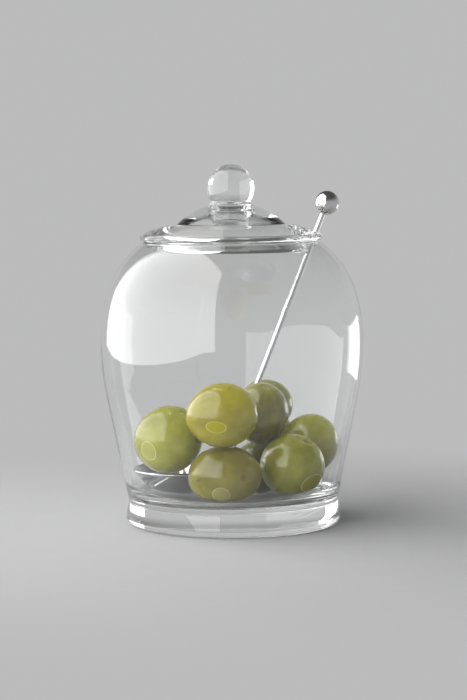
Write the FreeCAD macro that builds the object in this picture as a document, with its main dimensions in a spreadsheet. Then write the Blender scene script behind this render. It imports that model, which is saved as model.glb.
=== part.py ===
import FreeCAD, Part
import math
import os

import Sketcher
from FreeCAD import Placement, Rotation, Vector

# A clear glass olive jar with its glass lid, a steel olive spoon and nine big green olives.
#
# Millimetres, +Z up.  The origin is on the jar's axis where its foot stands, the spoon's handle
# leans to +X and the front is -Y.  Every size that can be chosen is a row of the first sheet; the
# other two hold what follows from them: radii of curves, and how the lid and the spoon fit.

SIZES = [
    # The jar: blown glass, one even wall on a thick pressed base.
    ("belly_radius", 52.6, "outside, where the jar is widest"),
    ("belly_height", 72.6, "height of the widest place"),
    ("foot_radius", 43.2, "outside of the foot"),
    ("foot_edge", 2.6, "rounding of the foot's lower edge"),
    ("crease_depth", 1.0, "how far the crease above the foot goes in"),
    ("crease_height", 9.8, "height of that crease"),
    ("crease_fillet", 6.0, "hollow curve in it"),
    ("ring_width", 2.2, "width of the flat ring the jar stands on"),
    ("recess_depth", 1.2, "hollow under the base"),
    ("recess_edge", 4.0, "rounding of that hollow"),
    ("lower_fullness", 0.565, "belly's lower curve: 1 reaches the crease with no straight taper"),
    ("upper_fullness", 1.403, "belly's upper curve: 1 reaches the lip with no tighter shoulder"),
    ("shoulder_fullness", 0.503, "shoulder's curve: 1 is as slow as the belly's upper curve"),
    ("lip_radius", 35.0, "radius of the mouth, at the middle of its rounded lip"),
    ("lip_height", 111.8, "height of the middle of the lip"),
    ("wall", 2.0, "thickness of the jar's wall"),
    ("floor_height", 11.0, "height of the floor inside, on the thick base"),
    ("floor_corner", 8.0, "rounding where the floor meets the wall"),
    # The lid: pressed glass, measured up from the face that sits on the lip.
    ("flange_overhang", 1.4, "how far the lid reaches out past the middle of the lip"),
    ("flange_width", 15.2, "from the lid's edge in to the dome's foot"),
    ("flange_edge", 1.6, "rounding of its edge"),
    ("flange_arc", 27.0, "crown of the flange"),
    ("flange_rise", 6.8, "height of the flange where the dome starts"),
    ("dome_step", 0.6, "small step from the dome down to the flange"),
    ("dome_rise", 8.46, "height of the dome over its foot"),
    ("lid_wall", 3.0, "thickness of the dome at its top"),
    ("knob_radius", 9.5, "the ball that lifts the lid"),
    ("knob_height", 21.1, "height of the ball's middle"),
    ("knob_fillet", 1.4, "hollow curve between ball and dome"),
    ("stub_radius", 7.5, "the ball's root inside the dome"),
    ("stub_height", 8.2, "height of the root's underside"),
    ("stub_edge", 1.8, "rounding of the root"),
    ("plug_depth", 4.6, "ring that keeps the lid in the mouth"),
    ("plug_edge", 1.5, "rounding of that ring"),
    ("plug_clearance", 3.0, "room between the ring and the lip"),
    ("notch_clearance", 1.1, "room round the handle in the lid's notch"),
    ("seat_gap", 0.12, "room left where one piece rests on another"),
    # The spoon: a round dished bowl, a straight rod handle and a ball end.
    ("bowl_radius", 19.0, "outside of the bowl's rim"),
    ("bowl_depth", 11.2, "height of the bowl"),
    ("bowl_wall", 1.0, "thickness of the bowl"),
    ("bowl_side_gap", 2.2, "room between the bowl's rim and the jar"),
    ("bowl_turn", 181.0, "where the bowl lies, round from +X"),
    ("rod_diameter", 2.2, "the handle"),
    ("handle_rise", 14.9, "height of the ball's middle over the lid's seat"),
    ("rod_turn", 8.0, "where the handle crosses the lip, round from +X"),
    ("ball_radius", 4.9, "ball on the handle's end"),
    ("bore_depth", 5.6, "how far the handle goes into the ball"),
    ("bore_clearance", 0.05, "room round the handle in the ball"),
    # The olives: the stem scar, and the room between them.
    ("scar_ball", 2.6, "radius of the hollow where the stem was"),
    ("scar_depth", 0.5, "depth of that hollow"),
    ("olive_gap", 0.12, "room left where an olive touches something"),
]

# Each olive: name, girth, how much longer it is than that, where it lies (round from the front, and
# how far out to the wall as a share of the way it has), and which way its stem end points (round
# from the front, and up).
OLIVES = [
    ("olive_front", 23.8, 5.0, -6.0, 1.00, -97.0, -6.0),
    ("olive_floor", 21.6, 2.4, 93.0, 0.335, 172.0, 8.0),
    ("olive_right", 25.0, 0.6, 49.0, 1.00, 20.0, 55.0),
    ("olive_back", 23.8, 5.0, 146.0, 1.00, 60.0, 80.0),
    ("olive_side", 24.0, 1.6, 99.0, 1.00, 165.0, 20.0),
    ("olive_spoon", 26.4, 1.0, -52.0, 1.00, 60.0, 60.0),
    ("olive_top", 25.0, 3.2, -6.5, 1.00, 84.0, 8.0),
    ("olive_middle", 22.0, 3.4, 43.0, 0.46, 10.0, 66.0),
    ("olive_far", 20.6, 2.2, 133.0, 0.52, 105.0, -8.0),
]

doc = FreeCAD.newDocument("olive_jar")


# ---------------------------------------------------------------- the sheets

def make_sheet(name, rows):
    """A spreadsheet whose rows are a description, a plain number and that number's alias."""
    sheet = doc.addObject("Spreadsheet::Sheet", name)
    for number, (alias, value, words) in enumerate(rows, start=1):
        sheet.set(f"A{number}", words)
        sheet.set(f"B{number}", repr(float(value)))
        sheet.setAlias(f"B{number}", alias)
    return sheet


olive_rows = []
for olive_name, girth, longer, *_ in OLIVES:
    olive_rows.append((f"{olive_name}_girth", girth, f"{olive_name}, thickest"))
    olive_rows.append((f"{olive_name}_longer", longer, f"{olive_name}, length over girth"))

sizes = make_sheet("Sizes", SIZES + olive_rows)
doc.recompute()


def size(alias):
    """A number of the first sheet."""
    return float(sizes.get(alias))


# ---------------------------------------------------------------- drawing outlines

START, END, MIDDLE = 1, 2, 3
ORIGIN = (-1, START)
ALONG = -1
UPRIGHT = -2


class Outline:
    """A sketch of lines and arcs on one of a body's own origin planes."""

    def __init__(self, body, name, role):
        self.sketch = body.newObject("Sketcher::SketchObject", name)
        plane = [face for face in body.Origin.OriginFeatures if face.Role == role][0]
        self.sketch.AttachmentSupport = [(plane, "")]
        self.sketch.MapMode = "FlatFace"

    def line(self, first, second):
        """A straight edge between two points."""
        edge = Part.LineSegment(Vector(*first, 0), Vector(*second, 0))
        return self.sketch.addGeometry(edge, False)

    def arc(self, middle, radius, first, second):
        """An arc drawn anticlockwise from one angle to another, in degrees."""
        circle = Part.Circle(Vector(*middle, 0), Vector(0, 0, 1), radius)
        edge = Part.ArcOfCircle(circle, math.radians(first), math.radians(second))
        return self.sketch.addGeometry(edge, False)

    def oval(self, middle, across, up):
        """The upper half of an oval, and its long and short diameters to give sizes to."""
        centre = Vector(*middle, 0)
        whole = Part.Ellipse(centre + Vector(across, 0, 0), centre + Vector(0, up, 0), centre)
        edge = self.sketch.addGeometry(Part.ArcOfEllipse(whole, 0, math.pi), False)
        self.sketch.exposeInternalGeometry(edge)
        return edge, edge + 1, edge + 2

    def mark(self, place):
        """A construction point, to give a size to."""
        return self.sketch.addGeometry(Part.Point(Vector(*place, 0)), True)

    def rule(self, kind, *what):
        """A constraint without a number."""
        self.sketch.addConstraint(Sketcher.Constraint(kind, *what))

    def meet(self, *joints):
        """Ends that meet at a corner."""
        for joint in joints:
            self.rule("Coincident", *joint)

    def blend(self, *joints):
        """Ends that run smoothly into each other."""
        for joint in joints:
            self.rule("Tangent", *joint)

    def measure(self, kind, what, value, formula):
        """A dimension that a formula of the sheets drives."""
        index = self.sketch.addConstraint(Sketcher.Constraint(kind, *what, value))
        self.sketch.setExpression(f"Constraints[{index}]", formula)

    def place(self, what, x, x_formula, y, y_formula):
        """The two distances of a point from the origin."""
        self.measure("DistanceX", ORIGIN + what, x, x_formula)
        self.measure("DistanceY", ORIGIN + what, y, y_formula)


def revolve(body, outline, axis="V_Axis"):
    """Turns an outline once round an axis of its sketch."""
    feature = body.newObject("PartDesign::Revolution", "Turned")
    feature.Profile = outline.sketch
    feature.ReferenceAxis = (outline.sketch, [axis])
    feature.Angle = 360
    return feature


def polar(middle, radius, degrees):
    """The point of a circle at an angle."""
    turn = math.radians(degrees)
    return (middle[0] + radius * math.cos(turn), middle[1] + radius * math.sin(turn))


def bearing(first, second):
    """Distance and direction, in degrees, from one point to another."""
    across, up = second[0] - first[0], second[1] - first[1]
    return math.hypot(across, up), math.degrees(math.atan2(up, across))


# ---------------------------------------------------------------- curves that reach their neighbours

crease_radius = size("foot_radius") - size("crease_depth")
inward = size("belly_radius") - crease_radius
drop = size("belly_height") - size("crease_height")
lower_arc = size("lower_fullness") * (inward ** 2 + drop ** 2) / (2.0 * inward)

half_wall = size("wall") / 2.0
inward = size("belly_radius") - size("lip_radius")
rise = size("lip_height") - size("belly_height")
direct = (inward ** 2 + rise ** 2 - half_wall ** 2) / (2.0 * (inward - half_wall))
upper_arc = size("upper_fullness") * direct
shoulder_arc = size("shoulder_fullness") * upper_arc

# The dome's curve rises over its foot, and the hollow's curve touches the ring's rounded end.
flange_radius = size("lip_radius") + size("flange_overhang")
dome_radius = flange_radius - size("flange_width")
dome_arc = (dome_radius ** 2 + size("dome_rise") ** 2) / (2.0 * size("dome_rise"))
hollow_top = size("flange_rise") + size("dome_step") + size("dome_rise") - size("lid_wall")
ring_radius = size("lip_radius") - half_wall - size("plug_clearance")
ring_end = (ring_radius - size("plug_edge"), size("plug_edge") - size("plug_depth"))
end_drop, end_round = hollow_top - ring_end[1], size("plug_edge")
hollow_arc = (ring_end[0] ** 2 + end_drop ** 2 - end_round ** 2) / (2.0 * (end_drop + end_round))

curves = make_sheet("Curves", [
    ("lower_arc", lower_arc, "curve of the belly below its widest place"),
    ("upper_arc", upper_arc, "curve of the belly above it"),
    ("shoulder_arc", shoulder_arc, "curve of the shoulder"),
    ("dome_arc", dome_arc, "curve of the lid's dome"),
    ("hollow_arc", hollow_arc, "curve of the hollow under it"),
])
doc.recompute()


# ---------------------------------------------------------------- the jar

def make_jar():
    """One outline turned round: foot, taper, belly, shoulder, lip, and the inside one wall away."""
    wall, floor, corner = size("wall"), size("floor_height"), size("floor_corner")
    belly = (size("belly_radius"), size("belly_height"))
    waist = (crease_radius, size("crease_height"))
    lip = (size("lip_radius"), size("lip_height"))
    lower, upper, shoulder = lower_arc, upper_arc, shoulder_arc
    edge, crease = size("foot_edge"), size("crease_fillet")

    # The foot's rounded edge, and the side that runs from it to the crease.
    edge_middle = (size("foot_radius") - edge, edge)
    far, way = bearing(edge_middle, waist)
    side_turn = way - math.degrees(math.acos(edge / far))
    side_start = polar(edge_middle, edge, side_turn)

    # The taper leaves the crease and touches the lower arc.
    lower_middle = (belly[0] - lower, belly[1])
    far, way = bearing(waist, lower_middle)
    taper_way = way - math.degrees(math.asin(lower / far))
    taper_turn = taper_way - 90.0
    taper_end = polar(lower_middle, lower, taper_turn)

    # The hollow curve in the crease lies outside, against the side and the taper.
    half = (side_turn - taper_turn) / 2.0
    crease_middle = polar(waist, crease / math.cos(math.radians(half)), taper_turn + half)
    crease_low = polar(crease_middle, crease, 180.0 + side_turn)
    crease_high = polar(crease_middle, crease, 180.0 + taper_turn)

    # The shoulder touches the upper arc and ends at the lip.
    upper_middle = (belly[0] - upper, belly[1])
    far, way = bearing(upper_middle, lip)
    inset, reach = upper - shoulder, shoulder - wall / 2.0
    share = (far * far + inset * inset - reach * reach) / (2.0 * far * inset)
    shoulder_turn = way - math.degrees(math.acos(share))
    shoulder_middle = polar(upper_middle, inset, shoulder_turn)
    lip_turn = bearing(shoulder_middle, lip)[1]

    # The inside corner touches the floor and the inside of the taper.
    inside_end = polar(lower_middle, lower - wall, taper_turn)
    slope = math.radians(taper_turn)
    depth = inside_end[1] - (floor + corner)
    corner_x = inside_end[0] + depth * math.tan(slope) - corner / math.cos(slope)
    corner_middle = (corner_x, floor + corner)

    body = doc.addObject("PartDesign::Body", "jar")
    draw = Outline(body, "JarOutline", "XZ_Plane")
    recess, round_in = size("recess_depth"), size("recess_edge")
    ring = edge_middle[0] - size("ring_width")
    drop = math.degrees(math.asin((round_in - recess) / round_in))
    recess_middle = (ring - round_in * math.cos(math.radians(drop)), recess - round_in)

    under = draw.line((0, recess), (recess_middle[0], recess))
    hollow = draw.arc(recess_middle, round_in, drop, 90)
    land = draw.line((ring, 0), (edge_middle[0], 0))
    foot = draw.arc(edge_middle, edge, -90, side_turn)
    side = draw.line(side_start, crease_low)
    fold = draw.arc(crease_middle, crease, 180 + taper_turn, 180 + side_turn)
    taper = draw.line(crease_high, taper_end)
    low = draw.arc(lower_middle, lower, taper_turn, 0)
    high = draw.arc(upper_middle, upper, 0, shoulder_turn)
    slide = draw.arc(shoulder_middle, shoulder, shoulder_turn, lip_turn)
    mouth = draw.arc(lip, wall / 2.0, lip_turn, lip_turn + 180)
    slide_in = draw.arc(shoulder_middle, shoulder - wall, shoulder_turn, lip_turn)
    high_in = draw.arc(upper_middle, upper - wall, 0, shoulder_turn)
    low_in = draw.arc(lower_middle, lower - wall, taper_turn, 0)
    taper_in = draw.line(inside_end, polar(corner_middle, corner, taper_turn))
    bend = draw.arc(corner_middle, corner, -90, taper_turn)
    ground = draw.line((corner_x, floor), (0, floor))
    spine = draw.line((0, floor), (0, recess))

    draw.meet((spine, END, under, START), (ground, END, spine, START), (hollow, START, land, START))
    draw.meet((low, END, high, START), (low_in, END, high_in, START))
    draw.blend((under, END, hollow, END), (land, END, foot, START), (foot, END, side, START))
    draw.blend((side, END, fold, END), (fold, START, taper, START), (taper, END, low, START))
    draw.blend((high, END, slide, START), (slide, END, mouth, START), (mouth, END, slide_in, END))
    draw.blend((slide_in, START, high_in, END), (low_in, START, taper_in, START))
    draw.blend((taper_in, END, bend, END), (bend, START, ground, START))
    draw.meet((low_in, MIDDLE, low, MIDDLE), (high_in, MIDDLE, high, MIDDLE))
    draw.meet((slide_in, MIDDLE, slide, MIDDLE))
    draw.rule("Horizontal", low, MIDDLE, low, END)
    draw.rule("Horizontal", high, MIDDLE, high, START)
    draw.rule("Horizontal", high_in, MIDDLE, high_in, START)
    draw.rule("Parallel", taper, taper_in)
    for level in (under, land, ground):
        draw.rule("Horizontal", level)
    draw.rule("PointOnObject", spine, START, UPRIGHT)
    draw.rule("PointOnObject", spine, END, UPRIGHT)
    draw.rule("PointOnObject", land, START, ALONG)

    crossing = draw.mark(waist)
    draw.rule("PointOnObject", crossing, START, side)
    draw.rule("PointOnObject", crossing, START, taper)
    draw.place((crossing, START), waist[0], "Sizes.foot_radius - Sizes.crease_depth",
               waist[1], "Sizes.crease_height")
    draw.place((low, END), belly[0], "Sizes.belly_radius", belly[1], "Sizes.belly_height")
    draw.place((mouth, MIDDLE), lip[0], "Sizes.lip_radius", lip[1], "Sizes.lip_height")
    draw.measure("DistanceX", ORIGIN + (foot, MIDDLE), edge_middle[0], "Sizes.foot_radius - Sizes.foot_edge")
    draw.measure("DistanceX", (land, START, land, END), edge_middle[0] - ring, "Sizes.ring_width")
    draw.measure("DistanceY", ORIGIN + (under, START), recess, "Sizes.recess_depth")
    draw.measure("DistanceY", ORIGIN + (spine, START), floor, "Sizes.floor_height")
    draw.measure("Radius", (hollow,), round_in, "Sizes.recess_edge")
    draw.measure("Radius", (foot,), edge, "Sizes.foot_edge")
    draw.measure("Radius", (fold,), crease, "Sizes.crease_fillet")
    draw.measure("Radius", (low,), lower, "Curves.lower_arc")
    draw.measure("Radius", (high,), upper, "Curves.upper_arc")
    draw.measure("Radius", (slide,), shoulder, "Curves.shoulder_arc")
    draw.measure("Radius", (high_in,), upper - wall, "Curves.upper_arc - Sizes.wall")
    draw.measure("Radius", (bend,), corner, "Sizes.floor_corner")
    revolve(body, draw)
    doc.recompute()
    inside = [draw.sketch.Geometry[i] for i in (ground, bend, taper_in, low_in, high_in, slide_in, mouth)]
    return body, inside


jar, inside_edges = make_jar()


# ---------------------------------------------------------------- how things lie in the jar

PROFILE_STEP = 0.8


def profile_points(edges):
    """Radius and height of points along an outline, close enough to measure from."""
    points = []
    for edge in edges:
        count = max(2, math.ceil(edge.length() / PROFILE_STEP))
        points += [(point.x, point.y) for point in edge.toShape().discretize(Number=count + 1)]
    return points


inside_points = profile_points(inside_edges)


def inside_radius(height):
    """How far the inside of the jar is from its axis at a height."""
    nearest = sorted(inside_points, key=lambda point: abs(point[1] - height))
    return nearest[0][0]


def to_profile(place, points, axis=(0.0, 0.0)):
    """Distance from a place to a surface turned round an upright axis."""
    radius = math.hypot(place.x - axis[0], place.y - axis[1])
    return min(math.hypot(radius - across, place.z - up) for across, up in points)


def to_line(place, first, second):
    """Distance from a place to the straight line between two others."""
    way = second - first
    share = min(1.0, max(0.0, (place - first).dot(way) / way.dot(way)))
    return place.distanceToPoint(first + way * share)


def plan(turn, radius=1.0, height=0.0):
    """A place at an angle round from +X."""
    return Vector(*polar((0.0, 0.0), radius, turn), height)


# The spoon stands with its bowl on the floor, close to the wall, and its handle on the lip.

bowl_base = size("floor_height") + size("seat_gap")
rim_height = bowl_base + size("bowl_depth")
bowl_reach = inside_radius(rim_height) - size("bowl_radius") - size("bowl_side_gap")
bowl_place = plan(size("bowl_turn"), bowl_reach, bowl_base)

bowl_sphere = (size("bowl_radius") ** 2 + size("bowl_depth") ** 2) / (2.0 * size("bowl_depth"))
rim_inside = math.sqrt((bowl_sphere - size("bowl_wall")) ** 2 - (bowl_sphere - size("bowl_depth")) ** 2)
rim_middle = (size("bowl_radius") + rim_inside) / 2.0

rod_radius = size("rod_diameter") / 2.0
lip_room = half_wall + rod_radius + size("seat_gap")
lean = 0.0
for _ in range(8):
    lean_place = plan(size("rod_turn"), size("lip_radius") - lip_room / math.cos(lean), size("lip_height"))
    outward = Vector(lean_place.x - bowl_place.x, lean_place.y - bowl_place.y, 0).normalize()
    rod_foot = Vector(bowl_place.x, bowl_place.y, rim_height) + outward * rim_middle
    rod_way = (lean_place - rod_foot).normalize()
    lean = math.acos(rod_way.z)

# The lid sits on the lip, and its notch reaches in as far as the handle does under the ring.

seat_height = size("lip_height") + half_wall + size("seat_gap")
rod_length = (seat_height + size("handle_rise") - rim_height) / rod_way.z
ball_place = rod_foot + rod_way * rod_length
below = lean_place - rod_way * ((size("lip_height") - seat_height + size("plug_depth")) / rod_way.z)
notch_reach = math.hypot(below.x, below.y) - rod_radius / math.cos(lean) - size("notch_clearance")

fits = make_sheet("Fits", [
    ("seat_height", seat_height, "height of the lid's seat"),
    ("notch_reach", notch_reach, "inner end of the notch, from the axis"),
    ("bowl_base", bowl_base, "height of the bowl's underside"),
    ("bowl_reach", bowl_reach, "middle of the bowl, from the axis"),
    ("rod_length", rod_length, "from the bowl's rim to the middle of the ball"),
])
doc.recompute()


# ---------------------------------------------------------------- the lid

def make_lid():
    """One outline turned round: ball, dome, flange, ring, hollow and root; then the notch."""
    knob, dome, neck = size("knob_radius"), dome_arc, size("knob_fillet")
    knob_middle = (0.0, size("knob_height"))
    corner = (dome_radius, size("flange_rise") + size("dome_step"))
    ledge = (dome_radius + size("dome_step"), size("flange_rise"))
    dome_middle = (0.0, corner[1] - math.sqrt(dome ** 2 - corner[0] ** 2))
    corner_turn = bearing(dome_middle, corner)[1]

    # The hollow curve under the ball touches the ball and the dome.
    apart = knob_middle[1] - dome_middle[1]
    up = ((dome + neck) ** 2 - (knob + neck) ** 2 + apart ** 2) / (2.0 * apart)
    neck_middle = (math.sqrt((dome + neck) ** 2 - up ** 2), dome_middle[1] + up)
    knob_turn = bearing(knob_middle, neck_middle)[1]
    neck_turn = bearing(dome_middle, neck_middle)[1]

    # The flange's crown touches its rounded edge.
    rim, crown = size("flange_edge"), size("flange_arc")
    rim_place = (flange_radius - rim, rim)
    far, way = bearing(ledge, rim_place)
    share = (crown ** 2 + far ** 2 - (crown - rim) ** 2) / (2.0 * crown * far)
    crown_middle = polar(ledge, crown, way - math.degrees(math.acos(share)))
    ledge_turn = bearing(crown_middle, ledge)[1]
    crown_turn = bearing(crown_middle, rim_place)[1]

    # Inside, one hollow curve runs from the ring's rounded end to the ball's root.
    hollow_middle = (0.0, hollow_top - hollow_arc)
    end_turn = bearing(hollow_middle, ring_end)[1]
    root, nose, tip = size("stub_radius"), size("stub_edge"), size("stub_height")
    root_top = hollow_middle[1] + math.sqrt(hollow_arc ** 2 - root ** 2)
    root_turn = bearing(hollow_middle, (root, root_top))[1]

    body = doc.addObject("PartDesign::Body", "lid")
    draw = Outline(body, "LidOutline", "XZ_Plane")
    ball = draw.arc(knob_middle, knob, knob_turn, 90)
    throat = draw.arc(neck_middle, neck, 180 + knob_turn, 180 + neck_turn)
    roof = draw.arc(dome_middle, dome, corner_turn, neck_turn)
    step = draw.line(corner, ledge)
    top = draw.arc(crown_middle, crown, crown_turn, ledge_turn)
    brim = draw.arc(rim_place, rim, -90, crown_turn)
    seat = draw.line((rim_place[0], 0), (ring_radius, 0))
    side = draw.line((ring_radius, 0), (ring_radius, ring_end[1]))
    foot = draw.arc(ring_end, size("plug_edge"), 180 + end_turn, 360)
    inner = draw.arc(hollow_middle, hollow_arc, end_turn, root_turn)
    root_side = draw.line((root, root_top), (root, tip + nose))
    root_edge = draw.arc((root - nose, tip + nose), nose, -90, 0)
    root_end = draw.line((root - nose, tip), (0, tip))
    spine = draw.line((0, tip), (0, knob_middle[1] + knob))

    draw.meet((spine, END, ball, END), (root_end, END, spine, START), (step, START, roof, START))
    draw.meet((step, END, top, END), (seat, END, side, START), (inner, END, root_side, START))
    draw.blend((ball, START, throat, START), (throat, END, roof, END), (top, START, brim, END))
    draw.blend((brim, START, seat, START), (side, END, foot, END), (foot, START, inner, START))
    draw.blend((root_side, END, root_edge, END), (root_edge, START, root_end, START))
    for level in (seat, root_end):
        draw.rule("Horizontal", level)
    for plumb in (side, root_side):
        draw.rule("Vertical", plumb)
    for middle in (ball, roof, inner):
        draw.rule("PointOnObject", middle, MIDDLE, UPRIGHT)
    draw.rule("PointOnObject", spine, START, UPRIGHT)
    draw.rule("PointOnObject", spine, END, UPRIGHT)
    draw.rule("PointOnObject", seat, END, ALONG)

    draw.measure("Radius", (ball,), knob, "Sizes.knob_radius")
    draw.measure("DistanceY", ORIGIN + (ball, MIDDLE), knob_middle[1], "Sizes.knob_height")
    draw.measure("Radius", (throat,), neck, "Sizes.knob_fillet")
    draw.measure("Radius", (roof,), dome, "Curves.dome_arc")
    dome_foot = "Sizes.lip_radius + Sizes.flange_overhang - Sizes.flange_width"
    draw.place((roof, START), corner[0], dome_foot, corner[1], "Sizes.flange_rise + Sizes.dome_step")
    draw.place((step, END), ledge[0], f"{dome_foot} + Sizes.dome_step", ledge[1], "Sizes.flange_rise")
    draw.measure("Radius", (top,), crown, "Sizes.flange_arc")
    draw.measure("Radius", (brim,), rim, "Sizes.flange_edge")
    draw.measure("DistanceX", ORIGIN + (brim, MIDDLE), rim_place[0],
                 "Sizes.lip_radius + Sizes.flange_overhang - Sizes.flange_edge")
    draw.measure("DistanceX", ORIGIN + (side, START), ring_radius,
                 "Sizes.lip_radius - Sizes.wall / 2 - Sizes.plug_clearance")
    draw.measure("Radius", (foot,), size("plug_edge"), "Sizes.plug_edge")
    draw.measure("DistanceY", (foot, MIDDLE) + ORIGIN, -ring_end[1], "Sizes.plug_depth - Sizes.plug_edge")
    draw.measure("Radius", (inner,), hollow_arc, "Curves.hollow_arc")
    draw.measure("DistanceX", ORIGIN + (root_side, END), root, "Sizes.stub_radius")
    draw.measure("Radius", (root_edge,), nose, "Sizes.stub_edge")
    draw.measure("DistanceY", ORIGIN + (spine, START), tip, "Sizes.stub_height")
    revolve(body, draw)
    doc.recompute()
    whole = body.Shape.Volume

    # The notch is a round-ended slot, open at the flange's edge, cut down through everything.
    half = size("rod_diameter") / 2.0 + size("notch_clearance")
    mouth, deep = 1.2 * flange_radius, notch_reach + half
    cut = Outline(body, "NotchOutline", "XY_Plane")
    round_end = cut.arc((deep, 0), half, 90, 270)
    near = cut.line((deep, -half), (mouth, -half))
    out = cut.line((mouth, -half), (mouth, half))
    far_side = cut.line((mouth, half), (deep, half))
    cut.blend((round_end, END, near, START), (far_side, END, round_end, START))
    cut.meet((near, END, out, START), (out, END, far_side, START))
    cut.rule("Horizontal", near)
    cut.rule("Horizontal", far_side)
    cut.rule("Vertical", out)
    cut.rule("PointOnObject", round_end, MIDDLE, ALONG)
    cut.measure("DistanceX", ORIGIN + (round_end, MIDDLE), deep,
                "Fits.notch_reach + Sizes.rod_diameter / 2 + Sizes.notch_clearance")
    cut.measure("Radius", (round_end,), half, "Sizes.rod_diameter / 2 + Sizes.notch_clearance")
    cut.measure("DistanceX", ORIGIN + (out, START), mouth,
                "1.2 * (Sizes.lip_radius + Sizes.flange_overhang)")
    notch = body.newObject("PartDesign::Pocket", "Notch")
    notch.Profile = cut.sketch
    notch.Type = "ThroughAll"
    notch.Midplane = True
    doc.recompute()
    assert body.Shape.Volume < whole, "the notch cuts nothing"

    body.Placement = Placement(Vector(0, 0, seat_height), Rotation(Vector(0, 0, 1), size("rod_turn")))
    body.setExpression("Placement.Base.z", "Fits.seat_height")
    body.setExpression("Placement.Rotation.Angle", "Sizes.rod_turn")
    return body


# ---------------------------------------------------------------- the spoon

def make_bowl():
    """A round dish of even thickness, cut level at the rim."""
    rim = (size("bowl_radius"), size("bowl_depth"))
    middle = (0.0, bowl_sphere)
    inner = bowl_sphere - size("bowl_wall")
    body = doc.addObject("PartDesign::Body", "spoon_bowl")
    draw = Outline(body, "BowlOutline", "XZ_Plane")
    outside = draw.arc(middle, bowl_sphere, -90, bearing(middle, rim)[1])
    edge = draw.line(rim, (rim_inside, rim[1]))
    inside = draw.arc(middle, inner, -90, bearing(middle, (rim_inside, rim[1]))[1])
    spine = draw.line((0, size("bowl_wall")), (0, 0))
    draw.meet((outside, END, edge, START), (edge, END, inside, END), (inside, START, spine, START))
    draw.meet((spine, END, outside, START), (inside, MIDDLE, outside, MIDDLE), (outside, START) + ORIGIN)
    draw.rule("PointOnObject", outside, MIDDLE, UPRIGHT)
    draw.rule("PointOnObject", inside, START, UPRIGHT)
    draw.rule("Horizontal", edge)
    draw.place((outside, END), rim[0], "Sizes.bowl_radius", rim[1], "Sizes.bowl_depth")
    draw.measure("DistanceY", ORIGIN + (inside, START), size("bowl_wall"), "Sizes.bowl_wall")
    revolve(body, draw)
    doc.recompute()
    edges = [draw.sketch.Geometry[i] for i in (outside, edge, inside)]
    body.Placement = Placement(bowl_place, Rotation())
    body.setExpression("Placement.Base.x", "Fits.bowl_reach * cos(Sizes.bowl_turn * 1 deg)")
    body.setExpression("Placement.Base.y", "Fits.bowl_reach * sin(Sizes.bowl_turn * 1 deg)")
    body.setExpression("Placement.Base.z", "Fits.bowl_base")
    return body, edges


along_rod = Rotation(Vector(0, 0, 1), rod_way)


def make_rod():
    """A straight rod, cut level where it is brazed on the bowl's rim; its top end is in the ball."""
    spare = 2.0 * size("rod_diameter")
    bar = doc.addObject("Part::Cylinder", "Bar")
    bar.setExpression("Radius", "Sizes.rod_diameter / 2")
    bar.setExpression("Height", "2 * Sizes.rod_diameter + Fits.rod_length + Sizes.bore_depth"
                                " - Sizes.ball_radius - Sizes.bore_clearance")
    bar.Placement = Placement(rod_foot - rod_way * spare, along_rod)
    under = doc.addObject("Part::Box", "BelowRim")
    for side in ("Length", "Width", "Height"):
        under.setExpression(side, "10 * Sizes.rod_diameter")
    reach = 5.0 * size("rod_diameter")
    under.Placement = Placement(rod_foot - Vector(reach, reach, 2.0 * reach), Rotation())
    rod = doc.addObject("Part::Cut", "spoon_rod")
    rod.Base = bar
    rod.Tool = under
    return rod


def make_ball():
    """A ball with a blind bore for the handle, turned from one outline."""
    radius = size("ball_radius")
    bore = rod_radius + size("bore_clearance")
    floor = size("bore_depth") - radius
    mouth = -math.sqrt(radius ** 2 - bore ** 2)
    body = doc.addObject("PartDesign::Body", "spoon_ball")
    draw = Outline(body, "BallOutline", "XZ_Plane")
    skin = draw.arc((0, 0), radius, bearing((0, 0), (bore, mouth))[1], 90)
    spine = draw.line((0, radius), (0, floor))
    end = draw.line((0, floor), (bore, floor))
    side = draw.line((bore, floor), (bore, mouth))
    draw.meet((skin, END, spine, START), (spine, END, end, START), (end, END, side, START))
    draw.meet((side, END, skin, START), (skin, MIDDLE) + ORIGIN)
    draw.rule("PointOnObject", skin, END, UPRIGHT)
    draw.rule("Vertical", spine)
    draw.rule("Horizontal", end)
    draw.rule("Vertical", side)
    draw.measure("Radius", (skin,), radius, "Sizes.ball_radius")
    draw.measure("DistanceX", ORIGIN + (side, END), bore, "Sizes.rod_diameter / 2 + Sizes.bore_clearance")
    draw.measure("DistanceY", (end, START, skin, END), radius - floor,
                 "2 * Sizes.ball_radius - Sizes.bore_depth")
    revolve(body, draw)
    body.Placement = Placement(ball_place, along_rod)
    return body


lid = make_lid()
bowl, bowl_edges = make_bowl()
rod = make_rod()
ball = make_ball()
doc.recompute()


# ---------------------------------------------------------------- the olives

class Oval:
    """An olive where it lies: an oval turned round its length, thickest in the middle."""

    def __init__(self, name):
        self.name = name
        self.half = size(f"{name}_girth") / 2.0
        self.length = 2.0 * self.half + size(f"{name}_longer")
        self.way = None
        self.place = None

    def balls(self):
        """Balls along its length that touch its skin from inside: their middles and radii."""
        end = self.length / 2.0
        reach = (end ** 2 - self.half ** 2) / end
        found = []
        for step in range(-5, 6):
            along = reach * step / 5.0
            radius = math.sqrt(self.half ** 2 - along ** 2 * self.half ** 2 / (end * reach))
            found.append((self.place + self.way * along, radius))
        return found


bowl_points = profile_points(bowl_edges)


def room_at_wall(olive):
    """The smallest room between an olive and the jar."""
    room = math.inf
    for middle, radius in olive.balls():
        beside = inside_radius(middle.z) - math.hypot(middle.x, middle.y)
        if beside > radius / 2.0:
            beside = to_profile(middle, inside_points)
        room = min(room, beside - radius)
    return room


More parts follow.
